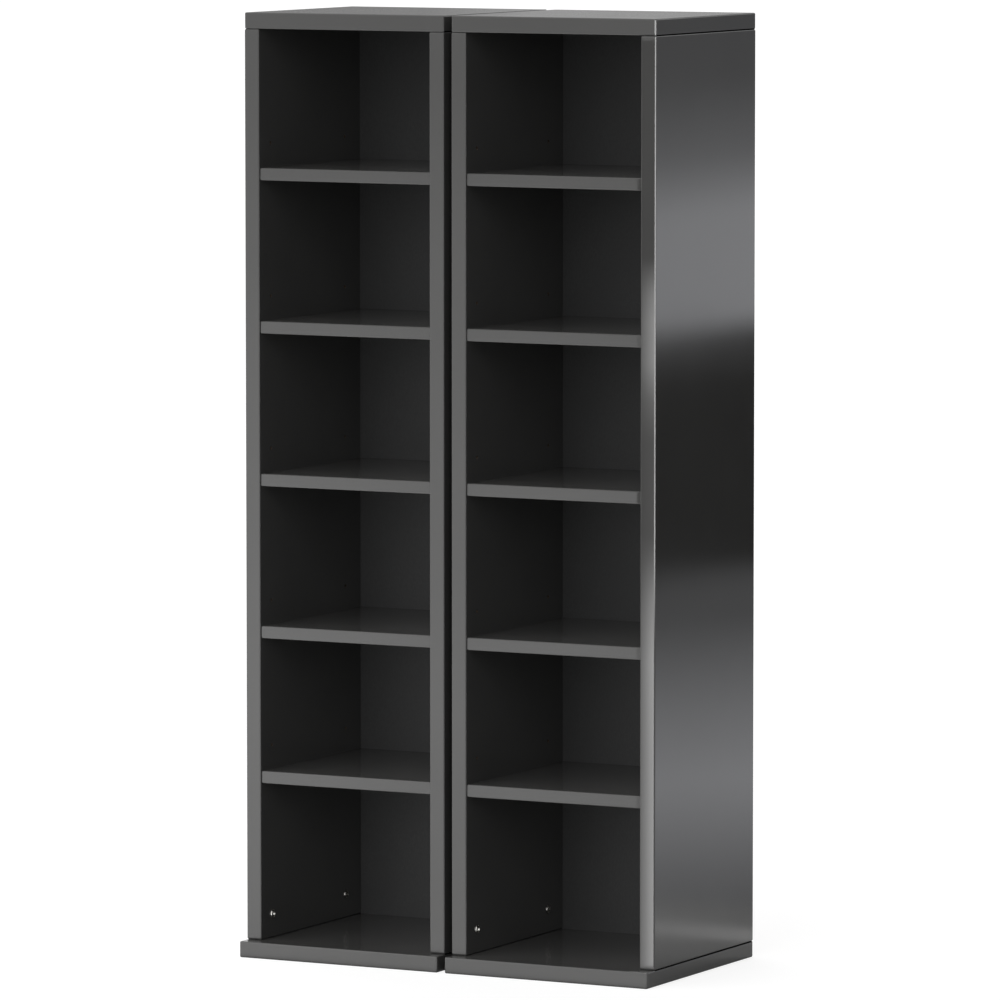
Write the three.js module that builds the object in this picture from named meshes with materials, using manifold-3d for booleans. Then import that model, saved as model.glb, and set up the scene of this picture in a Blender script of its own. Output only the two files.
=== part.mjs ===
// A set of two open storage towers standing side by side. Each one is a tall narrow carcass
// of eased boards, with a thin back sheet held in grooves and five loose shelves. Every shelf
// slides over two bent wires that hide in kerfs in its ends. Dowels join the base and the top to
// the sides, and bolts come up through the base into barrel nuts. Millimetres, +Z up, the open
// fronts face -Y.

import * as THREE from 'three';
import { mergeVertices } from 'three/addons/utils/BufferGeometryUtils.js';
import Module from 'manifold-3d';

const wasm = await Module();
wasm.setup();

// Outside sizes of one tower and the space between the two
const towerWidth = 220;
const sideDepth = 220;
const baseProjection = 15.5;
const towerGap = 8;

// Clear heights of the bays, which add up to the height of the tower
const bottomBayHeight = 155.5;
const lowBayHeight = 131;
const midBayHeight = 137.5;
const topBayHeight = 135.5;

// Boards and their eased edges
const boardThickness = 16;
const boardCornerRadius = 1.5;
const boardArrisRadius = 1;
const boardCornerSteps = 1;
const boardArrisSteps = 2;

// Shelves, whose banded front edge is the only rounded one
const shelfThickness = 12.5;
const shelfFrontRadius = 1;
const shelfFrontSteps = 1;
const shelfFrontInset = 2;
const shelfEndClearance = 0.4;
const shelfRearClearance = 1;

// Back sheet and the grooves that hold it
const backThickness = 3;
const backRearInset = 10;
const grooveDepth = 5;
const grooveClearance = 0.3;

// Support wires: both ends are bent square into the side, and the run between them lies along
// the wall in a kerf in the end of a shelf
const wireRadius = 1.5;
const wireLegDepth = 8;
const wireRunOffset = 5.5;
const wireBendRadius = 3.5;
const wireBendSteps = 3;
const wireSides = 8;
const wireClearance = 0.3;
const wireHoleEndClearance = 1;

// Rows of holes in the sides, with a spare pair above every shelf
const frontRowSetback = 23;
const rearRowSetback = 45;
const spareHoleRise = 23.5;

// Dowels, glued into the base and the top, that plug into the ends of the sides
const dowelRadius = 4;
const dowelLength = 20;
const dowelChamfer = 1;
const dowelHoleClearance = 0.3;
const dowelEndClearance = 1.5;
const dowelFrontSetback = 55;
const dowelRearSetback = 75;

// Barrel nuts, pushed into the inner faces of the sides just above the base
const nutRise = 23.5;
const nutRadius = 4;
const nutLength = 14;
const nutProud = 1.5;
const nutChamfer = 0.5;
const nutSlotWidth = 1.2;
const nutSlotDepth = 1;
const nutClearance = 0.3;
const nutEndClearance = 0.5;

// Socket-head bolts, sunk in the underside of the base and screwed into the barrel nuts
const boltRadius = 2.5;
const boltLength = 40;
const boltTipChamfer = 0.6;
const boltHeadRadius = 4.5;
const boltHeadHeight = 3;
const boltHeadChamfer = 0.5;
const boltSocketRadius = 2.3;
const boltSocketDepth = 1.8;
const boltSocketSides = 6;
const boltClearance = 0.3;
const boltEndClearance = 1.5;
const boltSeatGap = 0.3;
const counterboreDepth = 4.5;
const counterboreClearance = 0.5;

// Facets round a hole, dowel or fitting, and how far a cut runs past the face it starts from
const roundSteps = 10;
const cutOverrun = 1;

// Heights: every bay stands on the board below it, from the base upwards
const bayHeights = [
  bottomBayHeight, lowBayHeight, midBayHeight, midBayHeight, midBayHeight, topBayHeight,
];
const bayFloors = [boardThickness];
for (const bayHeight of bayHeights.slice(0, -1)) {
  bayFloors.push(bayFloors.at(-1) + bayHeight + shelfThickness);
}
const sideBottom = boardThickness;
const sideTop = bayFloors.at(-1) + bayHeights.at(-1);
const sideHeight = sideTop - sideBottom;

// Depths: the whole footprint is centred on Y = 0
const baseDepth = sideDepth + baseProjection;
const baseFront = -baseDepth / 2;
const sideFront = baseFront + baseProjection;
const sideRear = sideFront + sideDepth;
const sideMiddle = (sideFront + sideRear) / 2;
const backMiddle = sideRear - backRearInset - backThickness / 2;
const backFace = backMiddle - backThickness / 2;
const supportRows = { front: sideFront + frontRowSetback, rear: sideRear - rearRowSetback };
const dowelRows = [sideFront + dowelFrontSetback, sideRear - dowelRearSetback];

// Widths: each tower is centred on its own X = 0
const innerWidth = towerWidth - boardThickness * 2;
const wallFace = innerWidth / 2;
const sideCentre = (towerWidth - boardThickness) / 2;
const walls = { left: -1, right: 1 };

// Shelf and back sheet
const shelfLength = innerWidth - shelfEndClearance * 2;
const shelfFront = sideFront + shelfFrontInset;
const shelfDepth = backFace - shelfRearClearance - shelfFront;
const backWidth = innerWidth + (grooveDepth - grooveClearance) * 2;
const backHeight = sideHeight + (grooveDepth - grooveClearance) * 2;
const grooveWidth = backThickness + grooveClearance * 2;

// Kerf in either end of a shelf: it stops just in front of the wire and runs out at the rear
const kerfHeight = (wireRadius + wireClearance) * 2;
const kerfDepth = wireRunOffset + wireRadius + wireClearance - shelfEndClearance;
const kerfStart = supportRows.front - wireRadius - wireClearance - shelfFront;
const kerfLength = shelfDepth - kerfStart;

// Holes are drawn as polygons that stand outside the true circle, so that the piece still fits
const facetShare = 1 / Math.cos(Math.PI / roundSteps);
const wireHoleRadius = (wireRadius + wireClearance) * facetShare;
const wireHoleDepth = wireLegDepth + wireHoleEndClearance;
const nutHoleRadius = (nutRadius + nutClearance) * facetShare;
const nutHoleDepth = nutLength - nutProud + nutEndClearance;
const boltHoleRadius = (boltRadius + boltClearance) * facetShare;
const counterboreRadius = (boltHeadRadius + counterboreClearance) * facetShare;
const dowelHoleRadius = (dowelRadius + dowelHoleClearance) * facetShare;
const dowelHoleDepth = dowelLength + dowelEndClearance;

// Heights of the fittings at the foot of the sides
const nutHeight = sideBottom + nutRise;
const boltSeat = counterboreDepth - boltSeatGap;
const boltHoleDepth = boltSeat + boltLength + boltEndClearance - sideBottom;

const axisX = new THREE.Vector3(1, 0, 0);
const axisY = new THREE.Vector3(0, 1, 0);
const axisZ = new THREE.Vector3(0, 0, 1);

// Turns a piece drawn flat in XY so that its X runs along Y, its Y up and its Z across
const uprightTurn = new THREE.Matrix4().makeBasis(axisY, axisZ, axisX);

// Dark grey foil on the boards, a darker hardboard sheet behind, bright wires and plated fittings
const boardFinish = new THREE.MeshStandardMaterial({ color: 0x5b5c5e, roughness: 0.35, metalness: 0 });
const backFinish = new THREE.MeshStandardMaterial({ color: 0x2a2b2c, roughness: 0.7, metalness: 0 });
const wireFinish = new THREE.MeshStandardMaterial({ color: 0xb9babb, roughness: 0.3, metalness: 1 });
const fittingFinish = new THREE.MeshStandardMaterial({ color: 0xc4c2bd, roughness: 0.35, metalness: 1 });

// Leaves only welded positions and drops the triangles that close up at a pole
function weld(geometry) {
  const bare = geometry.clone();
  bare.deleteAttribute('normal');
  bare.deleteAttribute('uv');
  const welded = mergeVertices(bare);
  const corners = welded.index.array;
  const kept = [];
  for (let i = 0; i < corners.length; i += 3) {
    const [a, b, c] = corners.slice(i, i + 3);
    if (a !== b && b !== c && c !== a) kept.push(a, b, c);
  }
  welded.setIndex(kept);
  return welded;
}

function toSolid(geometry) {
  const welded = weld(geometry);
  return new wasm.Manifold(new wasm.Mesh({
    numProp: 3,
    vertProperties: new Float32Array(welded.attributes.position.array),
    triVerts: new Uint32Array(welded.index.array),
  }));
}

function toGeometry(solid) {
  const { vertProperties, triVerts } = solid.getMesh();
  const geometry = new THREE.BufferGeometry();
  geometry.setAttribute('position', new THREE.BufferAttribute(vertProperties, 3));
  geometry.setIndex(new THREE.BufferAttribute(triVerts, 1));
  geometry.computeVertexNormals();
  return geometry;
}

// A board lying flat, centred on the origin, with round corners and every arris eased
function easedBoard(length, breadth, thickness) {
  const farX = length / 2;
  const farY = breadth / 2;
  const arcX = farX - boardCornerRadius;
  const arcY = farY - boardCornerRadius;
  const quarter = Math.PI / 2;
  const outline = new THREE.Shape();
  outline.moveTo(-arcX, -farY);
  outline.lineTo(arcX, -farY);
  outline.absarc(arcX, -arcY, boardCornerRadius, -quarter, 0);
  outline.lineTo(farX, arcY);
  outline.absarc(arcX, arcY, boardCornerRadius, 0, quarter);
  outline.lineTo(-arcX, farY);
  outline.absarc(-arcX, arcY, boardCornerRadius, quarter, quarter * 2);
  outline.lineTo(-farX, -arcY);
  outline.absarc(-arcX, -arcY, boardCornerRadius, quarter * 2, quarter * 3);
  const board = new THREE.ExtrudeGeometry(outline, {
    depth: thickness - boardArrisRadius * 2,
    curveSegments: boardCornerSteps,
    bevelSegments: boardArrisSteps,
    bevelThickness: boardArrisRadius,
    bevelSize: boardArrisRadius,
    bevelOffset: -boardArrisRadius,
  });
  board.translate(0, 0, boardArrisRadius - thickness / 2);
  return board;
}

function boxCut(sizeX, sizeY, sizeZ, x, y, z) {
  return toSolid(new THREE.BoxGeometry(sizeX, sizeY, sizeZ).translate(x, y, z));
}

// A blind hole along X, from the inner face of a side into the board
function wallHole(wall, radius, depth, y, z) {
  const length = depth + cutOverrun;
  const hole = new THREE.CylinderGeometry(radius, radius, length, roundSteps);
  hole.rotateZ(Math.PI / 2);
  hole.translate(wall * (length / 2 - cutOverrun), y, z);
  return toSolid(hole);
}

// A hole along Z that starts at a face and runs up (into is 1) or down (into is -1) from it
function uprightHole(radius, depth, x, y, face, into) {
  const length = depth + cutOverrun;
  const hole = new THREE.CylinderGeometry(radius, radius, length, roundSteps);
  hole.rotateX(Math.PI / 2);
  hole.translate(x, y, face + into * (length / 2 - cutOverrun));
  return toSolid(hole);
}

// A dowel rooted in the middle of its board, with a chamfered tip
function dowel(x, y, face, into) {
  const root = boardThickness / 2;
  const profile = [
    new THREE.Vector2(0, -root),
    new THREE.Vector2(dowelRadius, -root),
    new THREE.Vector2(dowelRadius, dowelLength - dowelChamfer),
    new THREE.Vector2(dowelRadius - dowelChamfer, dowelLength),
    new THREE.Vector2(0, dowelLength),
  ];
  const peg = new THREE.LatheGeometry(profile, roundSteps);
  peg.rotateX(into * Math.PI / 2);
  peg.translate(x, y, face);
  return toSolid(peg);
}

// The base lies in front of and under the sides, the top is laid over them. Either has four
// dowels on the face that meets the sides, and a stopped groove for the back sheet.
function endBoard(depth, middle, face, into) {
  const board = easedBoard(towerWidth, depth, boardThickness);
  board.translate(0, middle, face - into * boardThickness / 2);
  const grooveHeight = grooveDepth + cutOverrun;
  const grooveLength = innerWidth + grooveDepth * 2;
  const groovePlace = face + into * (cutOverrun - grooveHeight / 2);
  let solid = toSolid(board);
  solid = solid.subtract(boxCut(grooveLength, grooveWidth, grooveHeight, 0, backMiddle, groovePlace));
  for (const side of Object.values(walls)) {
    for (const y of dowelRows) {
      solid = solid.add(dowel(side * sideCentre, y, face, into));
    }
  }
  return solid;
}

// The base is also bored for the four bolts, with a counterbore for each head
function makeBase() {
  let solid = endBoard(baseDepth, 0, sideBottom, 1);
  for (const side of Object.values(walls)) {
    for (const y of Object.values(supportRows)) {
      const x = side * sideCentre;
      solid = solid.subtract(uprightHole(counterboreRadius, counterboreDepth, x, y, 0, 1));
      solid = solid.subtract(uprightHole(boltHoleRadius, sideBottom + cutOverrun, x, y, 0, 1));
    }
  }
  return new THREE.Mesh(toGeometry(solid), boardFinish);
}

function makeTop() {
  return new THREE.Mesh(toGeometry(endBoard(sideDepth, sideMiddle, sideTop, -1)), boardFinish);
}

// A side stands on its own origin at the inner face: wall is -1 on the left and 1 on the right
function makeSide(wall) {
  const board = easedBoard(sideDepth, sideHeight, boardThickness);
  board.applyMatrix4(uprightTurn);
  board.translate(wall * boardThickness / 2, sideMiddle, (sideBottom + sideTop) / 2);
  let solid = toSolid(board);

  const reach = grooveDepth + cutOverrun;
  const grooveLength = sideHeight + cutOverrun * 2;
  const grooveX = wall * (reach / 2 - cutOverrun);
  const grooveZ = (sideBottom + sideTop) / 2;
  solid = solid.subtract(boxCut(reach, grooveWidth, grooveLength, grooveX, backMiddle, grooveZ));

  const centre = wall * boardThickness / 2;
  for (const y of Object.values(supportRows)) {
    for (const shelfTop of bayFloors.slice(1)) {
      for (const height of [wireHeight(shelfTop), shelfTop + spareHoleRise]) {
        solid = solid.subtract(wallHole(wall, wireHoleRadius, wireHoleDepth, y, height));
      }
    }
    solid = solid.subtract(wallHole(wall, nutHoleRadius, nutHoleDepth, y, nutHeight));
    solid = solid.subtract(uprightHole(boltHoleRadius, boltHoleDepth, centre, y, sideBottom, 1));
  }
  for (const y of dowelRows) {
    solid = solid.subtract(uprightHole(dowelHoleRadius, dowelHoleDepth, centre, y, sideBottom, 1));
    solid = solid.subtract(uprightHole(dowelHoleRadius, dowelHoleDepth, centre, y, sideTop, -1));
  }
  const side = new THREE.Mesh(toGeometry(solid), boardFinish);
  side.position.x = wall * wallFace;
  return side;
}

function makeBackSheet() {
  const sheet = new THREE.BoxGeometry(backWidth, backThickness, backHeight);
  const back = new THREE.Mesh(weld(sheet), backFinish);
  back.position.set(0, backMiddle, (sideBottom + sideTop) / 2);
  return back;
}

// A shelf is one section run across the bay, square behind and with both front arrises rounded,
// and a kerf is sawn into either end of it
function makeShelf() {
  const quarter = Math.PI / 2;
  const arcTop = shelfThickness - shelfFrontRadius;
  const section = new THREE.Shape();
  section.moveTo(shelfFrontRadius, 0);
  section.lineTo(shelfDepth, 0);
  section.lineTo(shelfDepth, shelfThickness);
  section.lineTo(shelfFrontRadius, shelfThickness);
  section.absarc(shelfFrontRadius, arcTop, shelfFrontRadius, quarter, quarter * 2);
  section.lineTo(0, shelfFrontRadius);
  section.absarc(shelfFrontRadius, shelfFrontRadius, shelfFrontRadius, quarter * 2, quarter * 3);
  const board = new THREE.ExtrudeGeometry(section, {
    depth: shelfLength,
    curveSegments: shelfFrontSteps,
    bevelEnabled: false,
  });
  board.applyMatrix4(uprightTurn);
  board.translate(-shelfLength / 2, 0, -shelfThickness);
  let solid = toSolid(board);
  const sawDepth = kerfDepth + cutOverrun;
  const sawLength = kerfLength + cutOverrun;
  const sawMiddle = kerfStart + sawLength / 2;
  for (const end of Object.values(walls)) {
    const x = end * (shelfLength / 2 + cutOverrun - sawDepth / 2);
    solid = solid.subtract(boxCut(sawDepth, sawLength, kerfHeight, x, sawMiddle, -shelfThickness / 2));
  }
  return new THREE.Mesh(toGeometry(solid), boardFinish);
}

// Height of the wires' axis in a shelf whose upper face is at the given height
function wireHeight(shelfTop) {
  return shelfTop - shelfThickness / 2;
}

// The centre line of a wire, which is walked from one station to the next at an even rate, so
// that the rings of a swept section fall on the stations
class WireLine extends THREE.Curve {
  constructor(stations) {
    super();
    this.stations = stations;
  }

  getPoint(share, target = new THREE.Vector3()) {
    const place = share * (this.stations.length - 1);
    const index = Math.min(Math.floor(place), this.stations.length - 2);
    return target.lerpVectors(this.stations[index], this.stations[index + 1], place - index);
  }

  getUtoTmapping(share) {
    return share;
  }
}

// A wire for one wall, whose inner face is at X = 0: a leg, a bend, the run, a bend and a leg
function makeWire(wall) {
  const halfSpan = (supportRows.rear - supportRows.front) / 2;
  const bendX = wireRunOffset - wireBendRadius;
  const bendY = halfSpan - wireBendRadius;
  const frontHalf = [new THREE.Vector3(wall * wireLegDepth, -halfSpan, 0)];
  for (let step = 0; step <= wireBendSteps; step += 1) {
    const turn = step / wireBendSteps * Math.PI / 2;
    const x = bendX + wireBendRadius * Math.sin(turn);
    const y = bendY + wireBendRadius * Math.cos(turn);
    frontHalf.push(new THREE.Vector3(-wall * x, -y, 0));
  }
  const rearHalf = frontHalf.map((station) => new THREE.Vector3(station.x, -station.y, 0)).reverse();
  const stations = [...frontHalf, ...rearHalf];
  const section = new THREE.Shape();
  section.absarc(0, 0, wireRadius, 0, Math.PI * 2);
  const wire = new THREE.ExtrudeGeometry(section, {
    steps: stations.length - 1,
    curveSegments: wireSides / 2,
    extrudePath: new WireLine(stations),
  });
  return new THREE.Mesh(weld(wire), wireFinish);
}

// A barrel nut lies along X with its slotted end at X = 0, which stands proud of the side, and
// is crossed by an upright bore for the bolt
function makeNut(wall) {
  const profile = [
    new THREE.Vector2(0, 0),
    new THREE.Vector2(nutRadius - nutChamfer, 0),
    new THREE.Vector2(nutRadius, nutChamfer),
    new THREE.Vector2(nutRadius, nutLength),
    new THREE.Vector2(0, nutLength),
  ];
  const barrel = new THREE.LatheGeometry(profile, roundSteps);
  barrel.rotateZ(-wall * Math.PI / 2);
  const across = (nutRadius + cutOverrun) * 2;
  const bore = new THREE.CylinderGeometry(boltHoleRadius, boltHoleRadius, across, roundSteps);
  bore.rotateX(Math.PI / 2);
  bore.translate(wall * (nutProud + boardThickness / 2), 0, 0);
  const slotReach = nutSlotDepth + cutOverrun;
  const slotX = wall * (slotReach / 2 - cutOverrun);
  const slot = boxCut(slotReach, nutSlotWidth, across, slotX, 0, 0);
  const solid = toSolid(barrel).subtract(toSolid(bore)).subtract(slot);
  return new THREE.Mesh(toGeometry(solid), fittingFinish);
}

// A bolt stands on its own origin at the seat of its head, with a six-sided socket below
function makeBolt() {
  const profile = [
    new THREE.Vector2(0, -boltHeadHeight),
    new THREE.Vector2(boltHeadRadius - boltHeadChamfer, -boltHeadHeight),
    new THREE.Vector2(boltHeadRadius, boltHeadChamfer - boltHeadHeight),
    new THREE.Vector2(boltHeadRadius, 0),
    new THREE.Vector2(boltRadius, 0),
    new THREE.Vector2(boltRadius, boltLength - boltTipChamfer),
    new THREE.Vector2(boltRadius - boltTipChamfer, boltLength),
    new THREE.Vector2(0, boltLength),
  ];
  const turned = new THREE.LatheGeometry(profile, roundSteps);
  const reach = boltSocketDepth + cutOverrun;
  const socket = new THREE.CylinderGeometry(boltSocketRadius, boltSocketRadius, reach, boltSocketSides);
  socket.translate(0, reach / 2 - cutOverrun - boltHeadHeight, 0);
  const bolt = toGeometry(toSolid(turned).subtract(toSolid(socket)));
  bolt.rotateX(Math.PI / 2);
  return new THREE.Mesh(bolt, fittingFinish);
}

function addWires(tower, towerName, number, shelfTop) {
  for (const [wallName, wall] of Object.entries(walls)) {
    const wire = makeWire(wall);
    wire.name = `${towerName}_wire_${number}_${wallName}`;
    const middle = (supportRows.front + supportRows.rear) / 2;
    wire.position.set(wall * wallFace, middle, wireHeight(shelfTop));
    tower.add(wire);
  }
}

function addBaseFittings(tower, towerName) {
  for (const [wallName, wall] of Object.entries(walls)) {
    for (const [rowName, y] of Object.entries(supportRows)) {
      const nut = makeNut(wall);
      nut.name = `${towerName}_barrel_nut_${wallName}_${rowName}`;
      nut.position.set(wall * (wallFace - nutProud), y, nutHeight);
      tower.add(nut);
      const bolt = makeBolt();
      bolt.name = `${towerName}_bolt_${wallName}_${rowName}`;
      bolt.position.set(wall * sideCentre, y, boltSeat);
      tower.add(bolt);
    }
  }
}

// One tower, centred on X = 0. Shelf 1 is the uppermost.
function makeTower(towerName) {
  const tower = new THREE.Group();
  const carcass = {
    base_panel: makeBase(),
    top_panel: makeTop(),
    left_side: makeSide(walls.left),
    right_side: makeSide(walls.right),
    back_sheet: makeBackSheet(),
  };
  for (const [pieceName, piece] of Object.entries(carcass)) {
    piece.name = `${towerName}_${pieceName}`;
    tower.add(piece);
  }
  const shelfTops = bayFloors.slice(1).reverse();
  shelfTops.forEach((shelfTop, index) => {
    const number = index + 1;
    const shelf = makeShelf();
    shelf.name = `${towerName}_shelf_${number}`;
    shelf.position.set(0, shelfFront, shelfTop);
    tower.add(shelf);
    addWires(tower, towerName, number, shelfTop);
  });
  addBaseFittings(tower, towerName);
  return tower;
}

const towerPair = new THREE.Group();
for (const [towerName, side] of [['left_tower', walls.left], ['right_tower', walls.right]]) {
  const tower = makeTower(towerName);
  tower.position.x = side * (towerWidth + towerGap) / 2;
  towerPair.add(tower);
}

export default towerPair;
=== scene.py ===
"""The looks of a pair of open storage towers: every board, sheet, wire and fitting.

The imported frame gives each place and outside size, in metres, with +Z up and the open fronts
towards -Y. The classes below hold only what the frame doesn't say, such as the radius of an
arris, the roughness of a foil or the height of a lamp.
"""

from __future__ import annotations

import logging
import math
from collections.abc import Callable, Iterator, Sequence
from contextlib import contextmanager
from dataclasses import dataclass
from enum import Enum

import bmesh
import bpy
from mathutils import Matrix, Vector


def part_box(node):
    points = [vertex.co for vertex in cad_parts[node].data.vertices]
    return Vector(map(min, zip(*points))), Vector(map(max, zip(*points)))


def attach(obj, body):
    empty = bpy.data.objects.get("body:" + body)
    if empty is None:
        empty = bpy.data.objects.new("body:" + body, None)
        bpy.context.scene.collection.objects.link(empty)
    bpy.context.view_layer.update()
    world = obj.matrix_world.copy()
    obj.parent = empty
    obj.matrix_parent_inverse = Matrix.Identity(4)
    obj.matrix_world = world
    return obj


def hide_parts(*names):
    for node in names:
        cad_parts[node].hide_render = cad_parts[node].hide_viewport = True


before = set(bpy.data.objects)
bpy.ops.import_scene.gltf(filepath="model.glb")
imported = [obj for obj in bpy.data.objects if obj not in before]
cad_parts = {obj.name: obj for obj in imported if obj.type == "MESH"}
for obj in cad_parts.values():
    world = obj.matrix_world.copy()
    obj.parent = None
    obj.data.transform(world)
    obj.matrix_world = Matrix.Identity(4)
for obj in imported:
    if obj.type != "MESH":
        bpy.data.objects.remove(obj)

Piece = bpy.types.Object
Material = bpy.types.Material
Socket = bpy.types.NodeSocket
Test = Callable[..., bool]
Pair = tuple[float, float]
Triple = tuple[float, float, float]
Steps = tuple[Pair, ...]

LOG = logging.getLogger("storage_towers")
EVEN: Triple = (1.0, 1.0, 1.0)
UNIT: Pair = (0.0, 1.0)
QUARTER = math.pi / 2
NEAR = 1e-5
# How far a cutter stands out of what it cuts, in metres
OVERRUN = 0.001
# The facets across the smallest roundings, and the angle from which an edge stays sharp
FINE_FACETS = 2
SMOOTH_DEG = 32.0
# The sockets of a colour mix
MIX_SHARE, MIX_FIRST, MIX_SECOND, MIX_RESULT = 0, 6, 7, 2


class Axis(Enum):
    """The three directions of the frame, each with its place in a vector."""

    X = 0
    Y = 1
    Z = 2

    @property
    def vector(self) -> Vector:
        """The unit vector along this axis."""
        return Vector(1.0 if place == self.value else 0.0 for place in range(3))


class Wall(Enum):
    """The two walls of a bay, each with the sign of its X."""

    LEFT = -1
    RIGHT = 1

    @property
    def label(self) -> str:
        """The word that names this wall in a node's name."""
        return self.name.lower()


class Row(Enum):
    """The two upright rows of holes in a side."""

    FRONT = "front"
    REAR = "rear"


class Tower(Enum):
    """The two towers, each with the name of its body."""

    LEFT = "left_tower"
    RIGHT = "right_tower"


class Slot(Enum):
    """The material slots of the record."""

    BOARD = "board"
    BACK = "back_sheet"
    WIRE = "support_wire"
    FITTING = "fitting"


class Pick(Enum):
    """What is selected in edit mode, with the name of that list in a mesh."""

    EDGE = "edges"
    FACE = "faces"


class Work(Enum):
    """What a tool does to a piece, under the name of that operation."""

    CUT = "DIFFERENCE"
    JOIN = "UNION"


class Owner(Enum):
    """What nodes belong to, with the name of that list in the file."""

    MATERIAL = "materials"
    WORLD = "worlds"


# Work at the bench


def deselect() -> None:
    """Selects nothing."""
    bpy.ops.object.select_all(action="DESELECT")


def hold(piece: Piece) -> None:
    """Selects a piece and nothing else, and makes it the active one.

    Args:
        piece: The piece to select.
    """
    deselect()
    piece.select_set(True)
    bpy.context.view_layer.objects.active = piece


def settle(name: str, material: Material) -> Piece:
    """Names the newest piece, dresses it and moves its place, turn and scale into its mesh.

    Args:
        name: The new name of the object and of its mesh.
        material: Its material.

    Returns:
        The piece, at the origin.
    """
    piece = bpy.context.object
    hold(piece)
    bpy.ops.object.transform_apply(location=True, rotation=True, scale=True)
    piece.name = name
    piece.data.name = name
    piece.data.materials.append(material)
    return piece


def add_block(name: str, material: Material, corner: Vector, opposite: Vector) -> Piece:
    """Adds a block that fills the space between two opposite corners.

    Args:
        name: The name of the block.
        material: Its material.
        corner: One of its corners.
        opposite: The corner that lies furthest from it.

    Returns:
        The block.
    """
    low = Vector(map(min, corner, opposite))
    high = Vector(map(max, corner, opposite))
    deselect()
    bpy.ops.mesh.primitive_cube_add(size=1, location=(low + high) / 2, scale=high - low)
    return settle(name, material)


def add_rod(
    name: str, material: Material, radius: float, foot: Vector, axis: Axis, length: float, sides: int
) -> Piece:
    """Adds a round rod that starts at a point and runs along an axis.

    Args:
        name: The name of the rod.
        material: Its material.
        radius: Its radius.
        foot: The centre of the end that it starts from.
        axis: The axis that it runs along.
        length: How far it runs, negative towards the lower side.
        sides: The number of facets round it.

    Returns:
        The rod.
    """
    deselect()
    bpy.ops.mesh.primitive_cylinder_add(
        vertices=sides,
        radius=radius,
        depth=abs(length),
        location=foot + axis.vector * length / 2,
        rotation=axis.vector.to_track_quat("Z", "Y").to_euler(),
    )
    return settle(name, material)


def select(piece: Piece, pick: Pick, test: Test) -> int:
    """Selects the edges or faces of a piece in edit mode that pass a test.

    Args:
        piece: The piece, which is in edit mode.
        pick: Whether edges or faces are tested.
        test: Says whether an edge or face is wanted.

    Returns:
        How many were selected.
    """
    mesh = bmesh.from_edit_mesh(piece.data)
    chosen = [element for element in getattr(mesh, pick.value) if test(element)]
    for element in chosen:
        element.select_set(True)
    mesh.select_flush_mode()
    bmesh.update_edit_mesh(piece.data)
    return len(chosen)


@contextmanager
def editing(piece: Piece, pick: Pick, test: Test) -> Iterator[None]:
    """Opens a piece in edit mode with some of it selected, and closes it afterwards.

    Args:
        piece: The piece to work on.
        pick: Whether edges or faces are selected.
        test: Says whether an edge or face is wanted; at least one has to be.

    Yields:
        Nothing; the piece is in edit mode meanwhile.
    """
    hold(piece)
    bpy.ops.object.mode_set(mode="EDIT")
    bpy.ops.mesh.select_mode(type=pick.name)
    bpy.ops.mesh.select_all(action="DESELECT")
    try:
        if not select(piece, pick, test):
            raise ValueError(f"{piece.name} has none of the {pick.value} that are to be worked on")
        yield
    finally:
        bpy.ops.object.mode_set(mode="OBJECT")


def round_edges(piece: Piece, radius: float, facets: int, test: Test) -> None:
    """Rounds the edges of a piece that pass a test, with a number of facets across the rounding."""
    with editing(piece, Pick.EDGE, test):
        bpy.ops.mesh.bevel(offset_type="OFFSET", offset=radius, segments=facets, affect="EDGES")


def paint(piece: Piece, material: Material, test: Test) -> None:
    """Gives the faces of a piece that pass a test a material of their own.

    Args:
        piece: The piece to paint.
        material: The material of those faces.
        test: Says whether a face gets the material.
    """
    slots = piece.data.materials
    if material.name not in slots:
        slots.append(material)
    with editing(piece, Pick.FACE, test):
        piece.active_material_index = slots.find(material.name)
        bpy.ops.object.material_slot_assign()


def combine(piece: Piece, tool: Piece, work: Work) -> None:
    """Cuts a piece with a tool or joins the tool to it, and uses the tool up.

    Args:
        piece: The piece that stays.
        tool: The other solid, whose material the new faces keep.
        work: Whether the tool cuts or is joined on.
    """
    modifier = piece.modifiers.new("combine", "BOOLEAN")
    modifier.object = tool
    modifier.operation = work.value
    modifier.solver = "EXACT"
    modifier.material_mode = "TRANSFER"
    hold(piece)
    bpy.ops.object.modifier_apply(modifier=modifier.name)
    bpy.data.meshes.remove(tool.data)


def smooth(piece: Piece) -> None:
    """Shades the rounded edges of a piece smooth and keeps its flat faces flat.

    Args:
        piece: The piece to finish.
    """
    with editing(piece, Pick.FACE, every):
        bpy.ops.mesh.remove_doubles(threshold=NEAR / 10)
        bpy.ops.mesh.normals_make_consistent(inside=False)
    hold(piece)
    bpy.ops.object.shade_smooth_by_angle(angle=math.radians(SMOOTH_DEG))
    modifier = piece.modifiers.new("face weighted normals", "WEIGHTED_NORMAL")
    modifier.keep_sharp = True
    bpy.ops.object.modifier_apply(modifier=modifier.name)


def around(middle: float, reach: float) -> Pair:
    """The range that reaches equally far below and above its middle."""
    return middle - reach, middle + reach


def every(element: bmesh.types.BMFace) -> bool:
    """Passes every face."""
    return element.is_valid


def runs_along(edge: bmesh.types.BMEdge, axis: Axis) -> bool:
    """Whether an edge is parallel to an axis."""
    line = edge.verts[1].co - edge.verts[0].co
    return abs(line[axis.value]) > line.length - NEAR


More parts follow.
